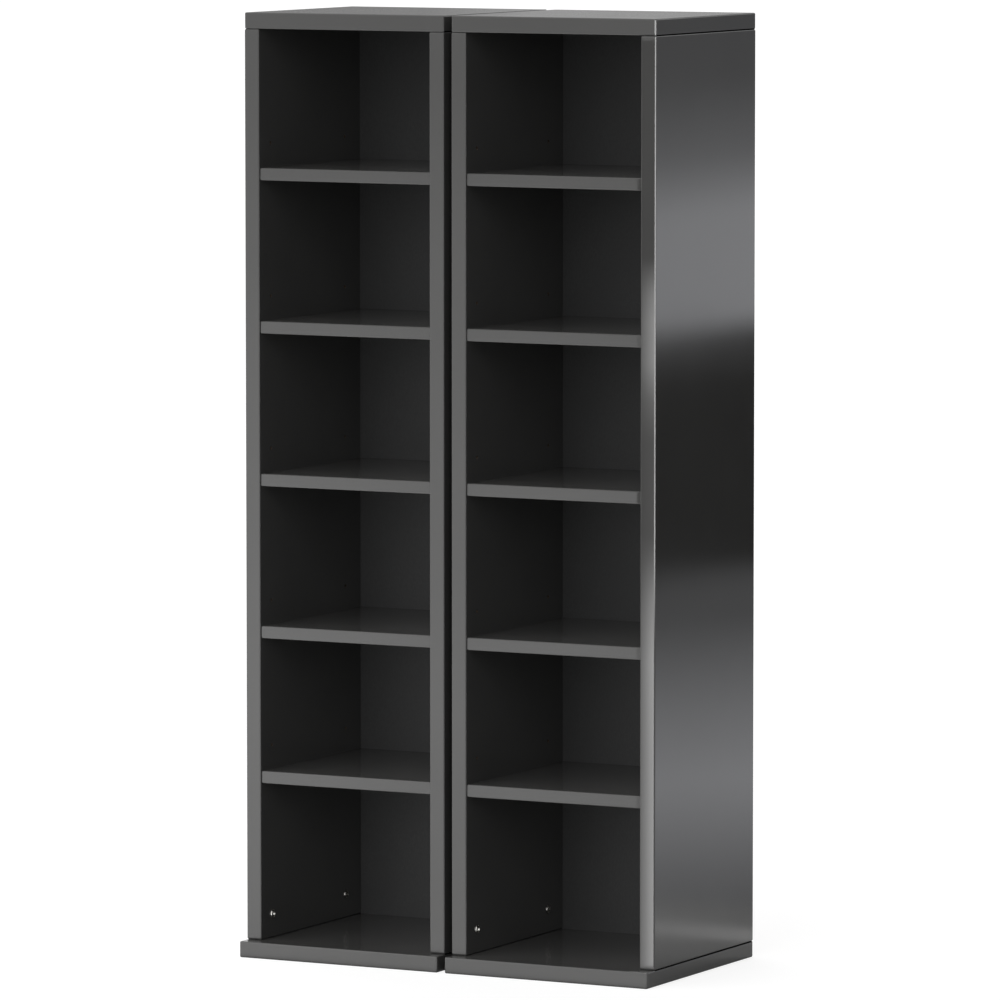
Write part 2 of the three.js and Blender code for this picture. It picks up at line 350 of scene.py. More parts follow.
def lying_at(axis: Axis, *places: float) -> Test:
    """Makes a test for edges or faces that lie wholly at one place along an axis.

    Args:
        axis: The axis.
        places: The places, any of which will do.

    Returns:
        The test.
    """

    def lies_there(element: bmesh.types.BMEdge | bmesh.types.BMFace) -> bool:
        """Whether all corners are at one of the places."""
        levels = [vert.co[axis.value] for vert in element.verts]
        return any(all(abs(level - place) < NEAR for level in levels) for place in places)

    return lies_there


# Finishes


@dataclass(frozen=True)
class Pattern:
    """A soft noise: its blots to the metre, its finer layers, and the part of its range in use."""

    scale: float
    detail: float
    used: Pair = (0.3, 0.7)
    stretch: Triple = EVEN


class Graph:
    """The nodes of one new material or world, with short calls for those that are often used."""

    def __init__(self, name: str, kind: Owner = Owner.MATERIAL) -> None:
        """Starts with nothing but the output.

        Args:
            name: The name of the material or world.
            kind: Which of the two it is.
        """
        self.owner = getattr(bpy.data, kind.value).new(name)
        self.owner.use_nodes = True
        self.tree = self.owner.node_tree
        self.tree.nodes.clear()
        self.output = self.add(f"Output{kind.name.title()}")

    def add(
        self, kind: str, given: dict[str | int, Socket | float | Triple] | None = None, **settings: str
    ) -> bpy.types.Node:
        """Adds a node.

        Args:
            kind: Its type, without the usual beginning.
            given: What goes into its inputs: a socket to link, or a number, vector or colour.
            settings: Its other settings by name.

        Returns:
            The node.
        """
        node = self.tree.nodes.new(f"ShaderNode{kind}")
        for key, value in settings.items():
            setattr(node, key, value)
        for key, value in (given or {}).items():
            target = node.inputs[key]
            if isinstance(value, Socket):
                self.tree.links.new(value, target)
            elif target.type == "RGBA":
                target.default_value = (*value, 1.0)
            else:
                target.default_value = value
        return node

    def end(self, shader: Socket) -> Material:
        """Links the last shader to the output and returns the finished material or world."""
        self.tree.links.new(shader, self.output.inputs["Surface"])
        return self.owner

    def place(self, stretch: Triple = EVEN) -> Socket:
        """Object coordinates, stretched; a larger factor makes a finer pattern."""
        given = {"Scale": stretch, "Vector": self.add("TexCoord").outputs["Object"]}
        return self.add("Mapping", given).outputs["Vector"]

    def part(self, vector: Socket, axis: Axis) -> Socket:
        """One of the three numbers of a vector."""
        return self.add("SeparateXYZ", {"Vector": vector}).outputs[axis.name]

    def noise(self, pattern: Pattern) -> Socket:
        """The bare noise of a pattern, from 0 to 1."""
        given = {"Scale": pattern.scale, "Detail": pattern.detail, "Vector": self.place(pattern.stretch)}
        return self.add("TexNoise", given).outputs["Fac"]

    def spread(self, value: Socket, source: Pair, result: Pair = UNIT) -> Socket:
        """Maps one range of a value to another, clamped."""
        given = {"From Min": source[0], "From Max": source[1], "To Min": result[0], "To Max": result[1]}
        return self.add("MapRange", given | {"Value": value}).outputs["Result"]

    def clouds(self, pattern: Pattern, result: Pair = UNIT) -> Socket:
        """The noise of a pattern, with the part in use spread over a range."""
        return self.spread(self.noise(pattern), pattern.used, result)

    def blend(
        self, share: Socket | float, first: Socket | Triple, second: Socket | Triple, mode: str = "MIX"
    ) -> Socket:
        """Blends two colours; the share is how much of the second one there is."""
        given = {MIX_SHARE: share, MIX_FIRST: first, MIX_SECOND: second}
        return self.add("Mix", given, data_type="RGBA", blend_type=mode).outputs[MIX_RESULT]

    def compute(self, operation: str, first: Socket, second: Socket) -> Socket:
        """Combines two values by an operation on numbers."""
        return self.add("Math", {0: first, 1: second}, operation=operation).outputs["Value"]

    def bump(self, height: Socket, relief: Pair, under: Socket | None = None) -> Socket:
        """Turns a height into a normal; the relief is its strength and its depth in metres."""
        given = {"Strength": relief[0], "Distance": relief[1], "Height": height}
        return self.add("Bump", given | ({"Normal": under} if under else {})).outputs["Normal"]

    def ramp(self, value: Socket, steps: Sequence[Pair]) -> Socket:
        """A grey that follows a value.

        Args:
            value: The value.
            steps: Pairs of a value, rising, and the grey there, from 0 to 1.

        Returns:
            The grey.
        """
        low, high = steps[0][0], steps[-1][0]
        node = self.add("ValToRGB", {"Fac": self.spread(value, (low, high))})
        stops = node.color_ramp.elements
        while len(stops) < len(steps):
            stops.new(1.0)
        for stop, (level, grey) in zip(stops, steps):
            stop.position = (level - low) / (high - low)
            stop.color = (grey, grey, grey, 1.0)
        return node.outputs["Color"]

    def surface(
        self, colour: Socket, roughness: Socket | float, normal: Socket, **others: float
    ) -> Material:
        """Ends the material with one principled shader.

        Args:
            colour: Its base colour.
            roughness: Its roughness.
            normal: Its normal.
            others: Its other inputs by name, with _ for a space.

        Returns:
            The finished material.
        """
        given = {"Base Color": colour, "Roughness": roughness, "Normal": normal}
        given |= {key.replace("_", " "): value for key, value in others.items()}
        return self.end(self.add("BsdfPrincipled", given).outputs["BSDF"])


@dataclass(frozen=True)
class FoilFinish:
    """A dark grey satin foil, pressed with a fine grain, with a little dust where it faces up."""

    name: str = "dark_grey_foil"
    colour: Triple = (0.057, 0.0565, 0.0552)
    shade_share: float = 0.06
    shades: Pattern = Pattern(7.0, 3.0)
    flecks: Pattern = Pattern(2200.0, 1.0, (0.35, 0.65))
    roughness: float = 0.165
    roughness_swing: float = 0.012
    sheen: Pattern = Pattern(11.0, 4.0)
    gloss: float = 0.5
    coat: float = 0.12
    coat_roughness: float = 0.1
    grain: Pattern = Pattern(1500.0, 3.0)
    grain_relief: Pair = (0.3, 0.00003)
    waves: Pattern = Pattern(55.0, 1.0)
    wave_relief: Pair = (0.25, 0.00006)
    dust_colour: Triple = (0.2, 0.195, 0.188)
    dust_share: float = 0.12
    dust_thinning: float = 0.35
    dust_patches: Pattern = Pattern(38.0, 6.0, (0.35, 0.75))
    dust_facing: Pair = (0.75, 0.98)

    def build(self) -> Material:
        """Builds the material.

        Returns:
            The material.
        """
        graph = Graph(self.name)
        swing = around(1.0, self.shade_share)
        darker, lighter = (tuple(part * share for part in self.colour) for share in swing)
        colour = graph.blend(graph.clouds(self.shades), darker, lighter)
        colour = graph.blend(1.0, colour, graph.clouds(self.flecks, swing), "MULTIPLY")
        facing = graph.part(graph.add("NewGeometry").outputs["Normal"], Axis.Z)
        shares = (self.dust_thinning * self.dust_share, self.dust_share)
        patches = graph.clouds(self.dust_patches, shares)
        dust = graph.compute("MULTIPLY", graph.spread(facing, self.dust_facing), patches)
        colour = graph.blend(dust, colour, self.dust_colour)
        wavy = graph.bump(graph.noise(self.waves), self.wave_relief)
        return graph.surface(
            colour,
            graph.clouds(self.sheen, around(self.roughness, self.roughness_swing)),
            graph.bump(graph.noise(self.grain), self.grain_relief, wavy),
            Specular_IOR_Level=self.gloss,
            Coat_Weight=self.coat,
            Coat_Roughness=self.coat_roughness,
        )


@dataclass(frozen=True)
class HardboardFinish:
    """The pressed sheet at the back: a matt dark face, or the rough side with its screen mark."""

    name: str
    colour: Triple
    fibre_colour: Triple
    roughness: float
    roughness_swing: float = 0.06
    fibres: Pattern = Pattern(900.0, 8.0, (0.38, 0.66), (1.0, 1.0, 0.35))
    clouds: Pattern = Pattern(18.0, 3.0)
    cloud_share: float = 0.5
    felt: Pattern = Pattern(1400.0, 5.0)
    felt_relief: Pair = (0.3, 0.00008)
    screen_relief: Pair = (0.8, 0.0)
    screen_scale: float = 420.0
    screen_waver: float = 0.35

    def build(self) -> Material:
        """Builds the material.

        Returns:
            The material.
        """
        graph = Graph(self.name)
        fibres = graph.clouds(self.fibres)
        colour = graph.blend(fibres, self.colour, self.fibre_colour)
        colour = graph.blend(graph.clouds(self.clouds, (0.0, self.cloud_share)), colour, self.colour)
        normal = graph.bump(graph.noise(self.felt), self.felt_relief)
        if self.screen_relief[1]:
            given = {"Scale": self.screen_scale / math.tau, "Distortion": self.screen_waver}
            waves = [
                graph.add("TexWave", given | {"Vector": graph.place(way)}, bands_direction="DIAGONAL")
                for way in (Axis.X.vector, Axis.Z.vector)
            ]
            screen = graph.compute("MULTIPLY", *(wave.outputs["Fac"] for wave in waves))
            normal = graph.bump(screen, self.screen_relief, normal)
        rough = graph.spread(fibres, UNIT, around(self.roughness, self.roughness_swing))
        return graph.surface(colour, rough, normal)


@dataclass(frozen=True)
class ChipboardFinish:
    """The raw core of a board, seen in holes, grooves and kerfs: pressed chips in several tans."""

    name: str = "raw_chipboard"
    pale: Triple = (0.28, 0.2, 0.125)
    dark: Triple = (0.13, 0.085, 0.05)
    chip_scale: float = 620.0
    chip_stretch: Triple = (1.0, 0.5, 1.0)
    relief: Pair = (0.7, 0.0003)
    roughness: float = 0.85

    def build(self) -> Material:
        """Builds the material.

        Returns:
            The material.
        """
        graph = Graph(self.name)
        given = {"Scale": self.chip_scale, "Vector": graph.place(self.chip_stretch)}
        chips = graph.add("TexVoronoi", given).outputs
        tone = graph.add("SeparateColor", {"Color": chips["Color"]}).outputs["Red"]
        normal = graph.bump(chips["Distance"], self.relief)
        return graph.surface(graph.blend(tone, self.dark, self.pale), self.roughness, normal)


@dataclass(frozen=True)
class BeechFinish:
    """The pale beech of the dowels, with short dark flecks along the grain."""

    name: str = "beech"
    pale: Triple = (0.52, 0.36, 0.22)
    dark: Triple = (0.34, 0.2, 0.11)
    flecks: Pattern = Pattern(1800.0, 3.0, (0.5, 0.7), (1.0, 1.0, 0.12))
    relief: Pair = (0.3, 0.0001)
    roughness: float = 0.6

    def build(self) -> Material:
        """Builds the material.

        Returns:
            The material.
        """
        graph = Graph(self.name)
        flecks = graph.noise(self.flecks)
        colour = graph.blend(graph.spread(flecks, self.flecks.used), self.pale, self.dark)
        return graph.surface(colour, self.roughness, graph.bump(flecks, self.relief))


@dataclass(frozen=True)
class MetalFinish:
    """Bright metal with fine marks drawn along or turned round a piece, and a few dull blots."""

    name: str
    colour: Triple
    dull_colour: Triple
    roughness: float
    roughness_swing: Pair = (-0.07, 0.1)
    mark_scale: float = 2600.0
    mark_detail: float = 4.0
    mark_range: Pair = (0.3, 0.7)
    mark_stretch: Triple = EVEN
    mark_relief: Pair = (0.25, 0.00002)
    blots: Pattern = Pattern(160.0, 5.0, (0.45, 0.72))

    def build(self) -> Material:
        """Builds the material.

        Returns:
            The material.
        """
        graph = Graph(self.name)
        pattern = Pattern(self.mark_scale, self.mark_detail, self.mark_range, self.mark_stretch)
        marks = graph.noise(pattern)
        colour = graph.blend(graph.clouds(self.blots), self.colour, self.dull_colour)
        limits = tuple(self.roughness + swing for swing in self.roughness_swing)
        rough = graph.spread(marks, self.mark_range, limits)
        return graph.surface(colour, rough, graph.bump(marks, self.mark_relief), Metallic=1.0)


@dataclass(frozen=True)
class FloorFinish:
    """The pale floor: white to the eye but for the shadow, a dim grey to bounced light, and to
    reflections a glow with painted light and shadow in bands along Y.
    """

    name: str = "pale_floor"
    seen_share: float = 0.24
    seen_glow: float = 0.84
    mirrored_share: float = 0.75
    # Painted light and shadow that only reflections show: the floor's glow there is graded at a few
    # places along Y, bright in front of the towers and dark under them
    mirrored_glow: float = 1.27
    mirrored_steps: Steps = (
        (-0.42, 0.3), (-0.32, 1.0), (-0.14, 1.0), (-0.122, 0.0), (0.195, 0.0),
        (0.217, 0.46), (0.272, 0.46), (0.3, 0.0), (0.5, 0.0), (0.6, 0.3),
    )
    bounce_share: float = 0.26

    def build(self) -> Material:
        """Builds the material.

        Returns:
            The material.
        """
        graph = Graph(self.name)
        # The painted reflection: in reflections the floor's glow follows its place along Y
        tone = graph.ramp(graph.part(graph.place(), Axis.Y), self.mirrored_steps)
        seen = self.paper(graph, self.seen_share, self.seen_glow)
        mirrored = self.paper(graph, self.mirrored_share, self.mirrored_glow, tone)
        dim = self.paper(graph, self.bounce_share, 0.0)
        path = graph.add("LightPath").outputs
        inner = graph.add("MixShader", {0: path["Is Glossy Ray"], 1: dim, 2: mirrored})
        outer = graph.add("MixShader", {0: path["Is Camera Ray"], 1: inner.outputs["Shader"], 2: seen})
        return graph.end(outer.outputs["Shader"])

    def paper(self, graph: Graph, share: float, glow: float, tone: Socket | Triple = EVEN) -> Socket:
        """A matt white that takes only a share of the light and glows by itself.

        Args:
            graph: The nodes of the material.
            share: The share of the light that it sends back.
            glow: The strength of its own glow.
            tone: The colour of that glow.

        Returns:
            The shader.
        """
        matt = graph.add("BsdfDiffuse", {"Color": (share, share, share)}).outputs["BSDF"]
        shine = graph.add("Emission", {"Strength": glow, "Color": tone}).outputs["Emission"]
        return graph.add("AddShader", {0: matt, 1: shine}).outputs["Shader"]


@dataclass(frozen=True, kw_only=True)
class CardFinish:
    """A glow whose tone changes softly with its height and across it, for reflections only.

    The bands give the tone at a few heights. The shares, where there are any, say how much of it
    is left at a few places along X. The lean is how far the bands come down for each metre along
    X, from the place where they are at their own heights.
    """

    name: str
    bands: Steps
    shares: Steps = ()
    tint: Triple = EVEN
    lean: float = 0.0
    lean_from: float = 0.0

    def build(self) -> Material:
        """Builds the material.

        Returns:
            The material.
        """
        graph = Graph(self.name)
        place = graph.place()
        given = {0: place, 1: (self.lean, 0.0, 1.0)}
        height = graph.add("VectorMath", given, operation="DOT_PRODUCT").outputs["Value"]
        shift = self.lean * self.lean_from
        strongest = max(tone for _, tone in self.bands)
        colour = graph.ramp(height, [(level + shift, tone / strongest) for level, tone in self.bands])
        if self.shares:
            left = graph.ramp(graph.part(place, Axis.X), self.shares)
            colour = graph.blend(1.0, colour, left, "MULTIPLY")
        colour = graph.blend(1.0, colour, self.tint, "MULTIPLY")
        glow = graph.add("Emission", {"Strength": strongest, "Color": colour})
        return graph.end(glow.outputs["Emission"])


class Paints:
    """Every material of the towers, built once."""

    def __init__(self) -> None:
        """Builds the materials."""
        self.foil = FoilFinish().build()
        self.band = FoilFinish(
            "edge_band", (0.06, 0.0595, 0.0582), roughness=0.21, roughness_swing=0.015, dust_share=0.06
        ).build()
        # Painted shade: a near-black foil without shine for the inner arrises at the joints, where the
        # crease lies in shadow
        self.seam = FoilFinish(
            "dark_seam", (0.006, 0.006, 0.006), roughness=0.6, gloss=0.0, coat=0.0, dust_share=0.0
        ).build()
        self.chipboard = ChipboardFinish().build()
        # Painted shade: a darker core for the bores, standing in for the shadow inside the holes
        self.bored = ChipboardFinish("bored_core", (0.07, 0.052, 0.036), (0.03, 0.021, 0.014)).build()
        self.beech = BeechFinish().build()
        self.back_face = HardboardFinish(
            "dark_hardboard_face", (0.026, 0.0262, 0.0265), (0.04, 0.04, 0.04), 0.55
        ).build()
        tan, fibre = (0.135, 0.082, 0.045), (0.23, 0.15, 0.09)
        self.back_rear = HardboardFinish(
            "rough_hardboard", tan, fibre, 0.86, screen_relief=(0.8, 0.0003)
        ).build()
        self.wire = MetalFinish(
            "bright_wire", (0.62, 0.62, 0.63), (0.4, 0.39, 0.38), 0.28, mark_stretch=(1.0, 0.06, 1.0)
        ).build()
        self.nickel = MetalFinish("nickel", (0.66, 0.65, 0.62), (0.5, 0.48, 0.44), 0.24).build()


# Pieces


@dataclass
class Part:
    """A piece of a tower, made in the place of one node of the frame."""

    node: str
    paints: Paints

    slot = Slot.BOARD
    loose = False

    def __post_init__(self) -> None:
        """Reads the corners and the middle of the node from the frame."""
        self.low, self.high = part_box(self.node)
        self.middle = (self.low + self.high) / 2

    def make(self, name: str) -> Piece:
        """Makes the piece.

        Args:
            name: The name of the piece.

        Returns:
            The finished piece.
        """
        self.name = name
        self.shape()
        smooth(self.piece)
        return self.piece

    def shape(self) -> None:
        """Makes the piece up to its shading; each kind of piece does it in its own way."""
        raise NotImplementedError

    def cut(self, tool: Piece) -> None:
        """Cuts the piece with a tool, and uses the tool up."""
        combine(self.piece, tool, Work.CUT)


# Boards


@dataclass
class Board(Part):
    """A board in foil, with round corners and eased arrises, whose front edge carries a band."""

    corner_radius: float = 0.002
    corner_facets: int = 6
    arris_radius: float = 0.0014
    arris_facets: int = 5
    hole_sides: int = 32
    # The share of an arris next to a joint that is painted near black as shade
    seam_share: float = 0.65
    flat_rise: float = 0.999

    thickness_axis = Axis.Z

    def blank(self) -> None:
        """Makes the board before any hole is drilled."""
        axis = self.thickness_axis
        faces = (self.low[axis.value], self.high[axis.value])
        self.piece = add_block(self.name, self.paints.foil, self.low, self.high)
        for radius, facets, test in (
            (self.corner_radius, self.corner_facets, lambda edge: runs_along(edge, axis)),
            (self.arris_radius, self.arris_facets, lying_at(axis, *faces)),
        ):
            round_edges(self.piece, radius, facets, test)
        self.band()

    def band(self) -> None:
        """Paints the front edge, with its round arrises, as banding."""
        reach = self.low.y + self.corner_radius + NEAR
        paint(self.piece, self.paints.band, lambda face: all(vert.co.y < reach for vert in face.verts))

    def darken_seam(self, level: float, front: float) -> None:
        """Paints the inner part of the arrises at a joint near black, on the two long sides, as painted
        shade in the crease.

        Args:
            level: The height of the joint.
            front: The place of the joint's front end.
        """
        reach = self.arris_radius * self.seam_share + NEAR
        inset = self.arris_radius + NEAR
        if front > self.low.y + inset:
            with editing(self.piece, Pick.FACE, every):
                bpy.ops.mesh.bisect(plane_co=(0.0, front, 0.0), plane_no=(0.0, 1.0, 0.0))

        def in_seam(face: bmesh.types.BMFace) -> bool:
            """Whether a face belongs to the line of painted shade."""
            middle = face.calc_center_median()
            outside = not self.low.x + inset < middle.x < self.high.x - inset
            flat = abs(face.normal.z) > self.flat_rise
            return outside and not flat and middle.y > front and abs(middle.z - level) < reach

        paint(self.piece, self.paints.seam, in_seam)

    def drill(self, radius: float, mouth: Triple, axis: Axis, depth: float) -> None:
        """Drills a round hole whose core is painted darker than the raw chipboard, as painted shade
        inside the hole.

        Args:
            radius: The radius of the hole.
            mouth: The centre of its mouth, on the board's face.
            axis: The axis that it runs along.
            depth: Its depth, negative towards the lower side.
        """
        overrun = math.copysign(OVERRUN, depth)
        start, length = Vector(mouth) - axis.vector * overrun, depth + overrun
        self.cut(add_rod("bit", self.paints.bored, radius, start, axis, length, self.hole_sides))

    def saw(self, *spans: Pair) -> None:
        """Saws out a groove or kerf that has these ends along X, Y and Z and shows the raw core."""
        self.cut(add_block("blade", self.paints.chipboard, *(Vector(corner) for corner in zip(*spans))))


@dataclass
class CarcassBoard(Board):
    """A board of the carcass, with the sizes of what joins it to the others."""

    back_middle: float = 0.0
    bolt_rows: tuple[float, ...] = ()
    dowel_rows: tuple[float, ...] = ()
    bolt_radius: float = 0.0028
    groove_depth: float = 0.005
    groove_width: float = 0.0036


@dataclass
class EndBoard(CarcassBoard):
    """The base or the top of a tower, with fluted dowels and a stopped groove for the back sheet."""

    into: int = 1
    side_front: float = 0.0
    wall_face: float = 0.094
    counterbore_radius: float = 0.005
    counterbore_depth: float = 0.0045
    dowel_radius: float = 0.004
    dowel_length: float = 0.020
    dowel_chamfer: float = 0.001
    dowel_sides: int = 24
    flute_depth: float = 0.0003

    def __post_init__(self) -> None:
        """Reads the corners and takes the dowels off the board's own height."""
        super().__post_init__()
        if self.into > 0:
            self.high.z -= self.dowel_length
        else:
            self.low.z += self.dowel_length
        self.face = self.high.z if self.into > 0 else self.low.z
        self.thickness = self.high.z - self.low.z

    def shape(self) -> None:
        """Makes the board with its groove, bores and dowels."""
        self.blank()
        # Painted shade along the joint with the sides
        self.darken_seam(self.face, self.side_front + self.corner_radius)
        reach = self.wall_face + self.groove_depth
        self.saw(
            around(self.middle.x, reach),
            around(self.back_middle, self.groove_width / 2),
            (self.face - self.into * self.groove_depth, self.face + self.into * OVERRUN),
        )
        side_centre = self.high.x - self.middle.x - self.thickness / 2
        for wall in Wall:
            x = self.middle.x + wall.value * side_centre
            for y in self.bolt_rows:
                self.drill(self.counterbore_radius, (x, y, self.low.z), Axis.Z, self.counterbore_depth)
                self.drill(self.bolt_radius, (x, y, self.low.z), Axis.Z, self.thickness + OVERRUN)
            for y in self.dowel_rows:
                combine(self.piece, self.dowel(Vector((x, y, self.face))), Work.JOIN)

    def dowel(self, foot: Vector) -> Piece:
        """Makes a fluted dowel that is rooted in the middle of the board.

        Args:
            foot: The point on the board's face where it stands.

        Returns:
            The dowel, to be joined to the board.
        """
        root = self.thickness / 2
        start = foot - Axis.Z.vector * self.into * root
        length = self.into * (root + self.dowel_length)
        peg = add_rod(
            "dowel", self.paints.beech, self.dowel_radius, start, Axis.Z, length, self.dowel_sides
        )
        round_edges(peg, self.dowel_chamfer, FINE_FACETS, lying_at(Axis.Z, start.z + length))
        with editing(peg, Pick.FACE, lambda face: face.index % 2 == 0 and abs(face.normal.z) < NEAR):
            bpy.ops.mesh.inset(thickness=self.flute_depth, depth=-self.flute_depth, use_individual=True)
        return peg


@dataclass
class SideBoard(CarcassBoard):
    """A side with the groove for the back sheet, two rows of wire holes and the base fittings."""

    # The sides carry a narrower band of painted seam shade
    seam_share: float = 0.3
    wall: Wall = Wall.LEFT
    wire_levels: tuple[float, ...] = ()
    wire_radius: float = 0.0018
    wire_depth: float = 0.009
    nut_level: float = 0.0
    nut_radius: float = 0.0043
    nut_depth: float = 0.013
    bolt_depth: float = 0.0297
    dowel_radius: float = 0.0043
    dowel_depth: float = 0.0215

    thickness_axis = Axis.X

    def shape(self) -> None:
        """Makes the side with its groove and holes."""
        self.blank()
        # Painted shade along the joints with the base and the top
        for level in (self.low.z, self.high.z):
            self.darken_seam(level, self.low.y + self.corner_radius)
        sign = self.wall.value
        face = self.high.x if sign < 0 else self.low.x
        self.saw(
            (face - sign * OVERRUN, face + sign * self.groove_depth),
            around(self.back_middle, self.groove_width / 2),
            (self.low.z - OVERRUN, self.high.z + OVERRUN),
        )
        for y in self.bolt_rows:
            for level in self.wire_levels:
                self.drill(self.wire_radius, (face, y, level), Axis.X, sign * self.wire_depth)
            self.drill(self.nut_radius, (face, y, self.nut_level), Axis.X, sign * self.nut_depth)
            self.drill(self.bolt_radius, (self.middle.x, y, self.low.z), Axis.Z, self.bolt_depth)
        for y in self.dowel_rows:
            for level, depth in ((self.low.z, self.dowel_depth), (self.high.z, -self.dowel_depth)):
                self.drill(self.dowel_radius, (self.middle.x, y, level), Axis.Z, depth)


@dataclass
class ShelfBoard(Board):
    """A loose shelf: square but for its two front arrises, with a kerf in either end."""

    kerf_start: float = 0.0
    kerf_height: float = 0.0036
    kerf_depth: float = 0.0069

    loose = True

    def shape(self) -> None:
        """Makes the shelf with its kerfs."""
        self.piece = add_block(self.name, self.paints.foil, self.low, self.high)
        in_front = lying_at(Axis.Y, self.low.y)
        round_edges(
            self.piece,
            self.arris_radius,
            self.arris_facets,
            lambda edge: runs_along(edge, Axis.X) and in_front(edge),
        )
        self.band()
        for end, inward in ((self.low.x, 1), (self.high.x, -1)):
            self.saw(
                (end + inward * self.kerf_depth, end - inward * OVERRUN),
                (self.kerf_start, self.high.y + OVERRUN),
                around(self.middle.z, self.kerf_height / 2),
            )


@dataclass
class BackSheet(Part):
    """The thin sheet behind the bays, dark on the face and rough behind."""

    edge_radius: float = 0.0004

    slot = Slot.BACK

    def shape(self) -> None:
        """Makes the sheet."""
        self.piece = add_block(self.name, self.paints.back_face, self.low, self.high)
        faces = lying_at(Axis.Y, self.low.y, self.high.y)
        round_edges(self.piece, self.edge_radius, FINE_FACETS, faces)
        front = self.low.y + self.edge_radius + NEAR
        paint(
            self.piece, self.paints.back_rear, lambda face: any(vert.co.y > front for vert in face.verts)
        )


# Hardware


@dataclass
class SupportWire(Part):
    """A wire bent square at both ends, whose legs plug into a wall."""

    wall: Wall
    bend_radius: float = 0.0035
    bend_steps: int = 8
    sides: int = 16
    tip_radius: float = 0.0003

    slot = Slot.WIRE

    def shape(self) -> None:
        """Makes the wire by drawing its round end along the legs, the bends and the run."""
        radius = (self.high.z - self.low.z) / 2
        inward = -self.wall.value
        leg_end = self.low.x if inward > 0 else self.high.x
        run = (self.high.x - radius) if inward > 0 else (self.low.x + radius)
        bend = run - inward * self.bend_radius
        front, rear, level = self.low.y + radius, self.high.y - radius, self.middle.z
        deselect()
        bpy.ops.mesh.primitive_circle_add(
            vertices=self.sides,
            radius=radius,
            fill_type="NGON",
            location=(leg_end, front, level),
            rotation=(0.0, QUARTER, 0.0),
        )
        self.piece = settle(self.name, self.paints.wire)
        turn = -inward * QUARTER
        with editing(self.piece, Pick.FACE, every):
            self.draw(bend - leg_end, Axis.X)
            self.bend(Vector((bend, front + self.bend_radius, level)), turn)
            self.draw(rear - front - 2 * self.bend_radius, Axis.Y)
            self.bend(Vector((bend, rear - self.bend_radius, level)), turn)
            self.draw(leg_end - bend, Axis.X)
        round_edges(self.piece, self.tip_radius, FINE_FACETS, lying_at(Axis.X, leg_end))

    def draw(self, length: float, axis: Axis) -> None:
        """Extrudes the selected end straight on along an axis."""
        bpy.ops.mesh.extrude_region_move(TRANSFORM_OT_translate={"value": axis.vector * length})

    def bend(self, centre: Vector, turn: float) -> None:
        """Spins the selected end round an upright axis by an angle."""
        bpy.ops.mesh.spin(steps=self.bend_steps, angle=turn, center=centre, axis=Axis.Z.vector)


@dataclass
class BarrelNut(Part):
    """A round nut that lies in a side, crossed by the bolt's bore, with a dished and slotted end."""

    wall: Wall
    bolt_node: str
    sides: int = 40
    rim_radius: float = 0.0011
    rim_facets: int = 5
    dish_radius: float = 0.0026
    dish_depth: float = 0.0013
    slot_width: float = 0.0012
    slot_depth: float = 0.002
    bore_radius: float = 0.0028
    bore_sides: int = 32

    slot = Slot.FITTING

    def shape(self) -> None:
        """Makes the nut with its dish, bore and slot."""
        bolt_low, bolt_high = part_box(self.bolt_node)
        radius = (self.high.z - self.low.z) / 2
        into, y, level = self.wall.value, self.middle.y, self.middle.z
        shown, hidden = (self.high.x, self.low.x) if into < 0 else (self.low.x, self.high.x)
        foot, nickel = Vector((shown, y, level)), self.paints.nickel
        self.piece = add_rod(self.name, nickel, radius, foot, Axis.X, hidden - shown, self.sides)
        round_edges(self.piece, self.rim_radius, self.rim_facets, lying_at(Axis.X, shown, hidden))
        with editing(self.piece, Pick.FACE, lying_at(Axis.X, shown)):
            bpy.ops.mesh.inset(thickness=radius - self.rim_radius - self.dish_radius)
            bpy.ops.mesh.inset(thickness=self.dish_depth, depth=-self.dish_depth)
        reach = radius + OVERRUN
        mouth = Vector(((bolt_low.x + bolt_high.x) / 2, y, level - reach))
        self.cut(add_rod("bit", nickel, self.bore_radius, mouth, Axis.Z, 2 * reach, self.bore_sides))
        corner = Vector((shown - into * OVERRUN, y - self.slot_width / 2, level - reach))
        opposite = Vector((shown + into * self.slot_depth, y + self.slot_width / 2, level + reach))
        self.cut(add_block("blade", nickel, corner, opposite))


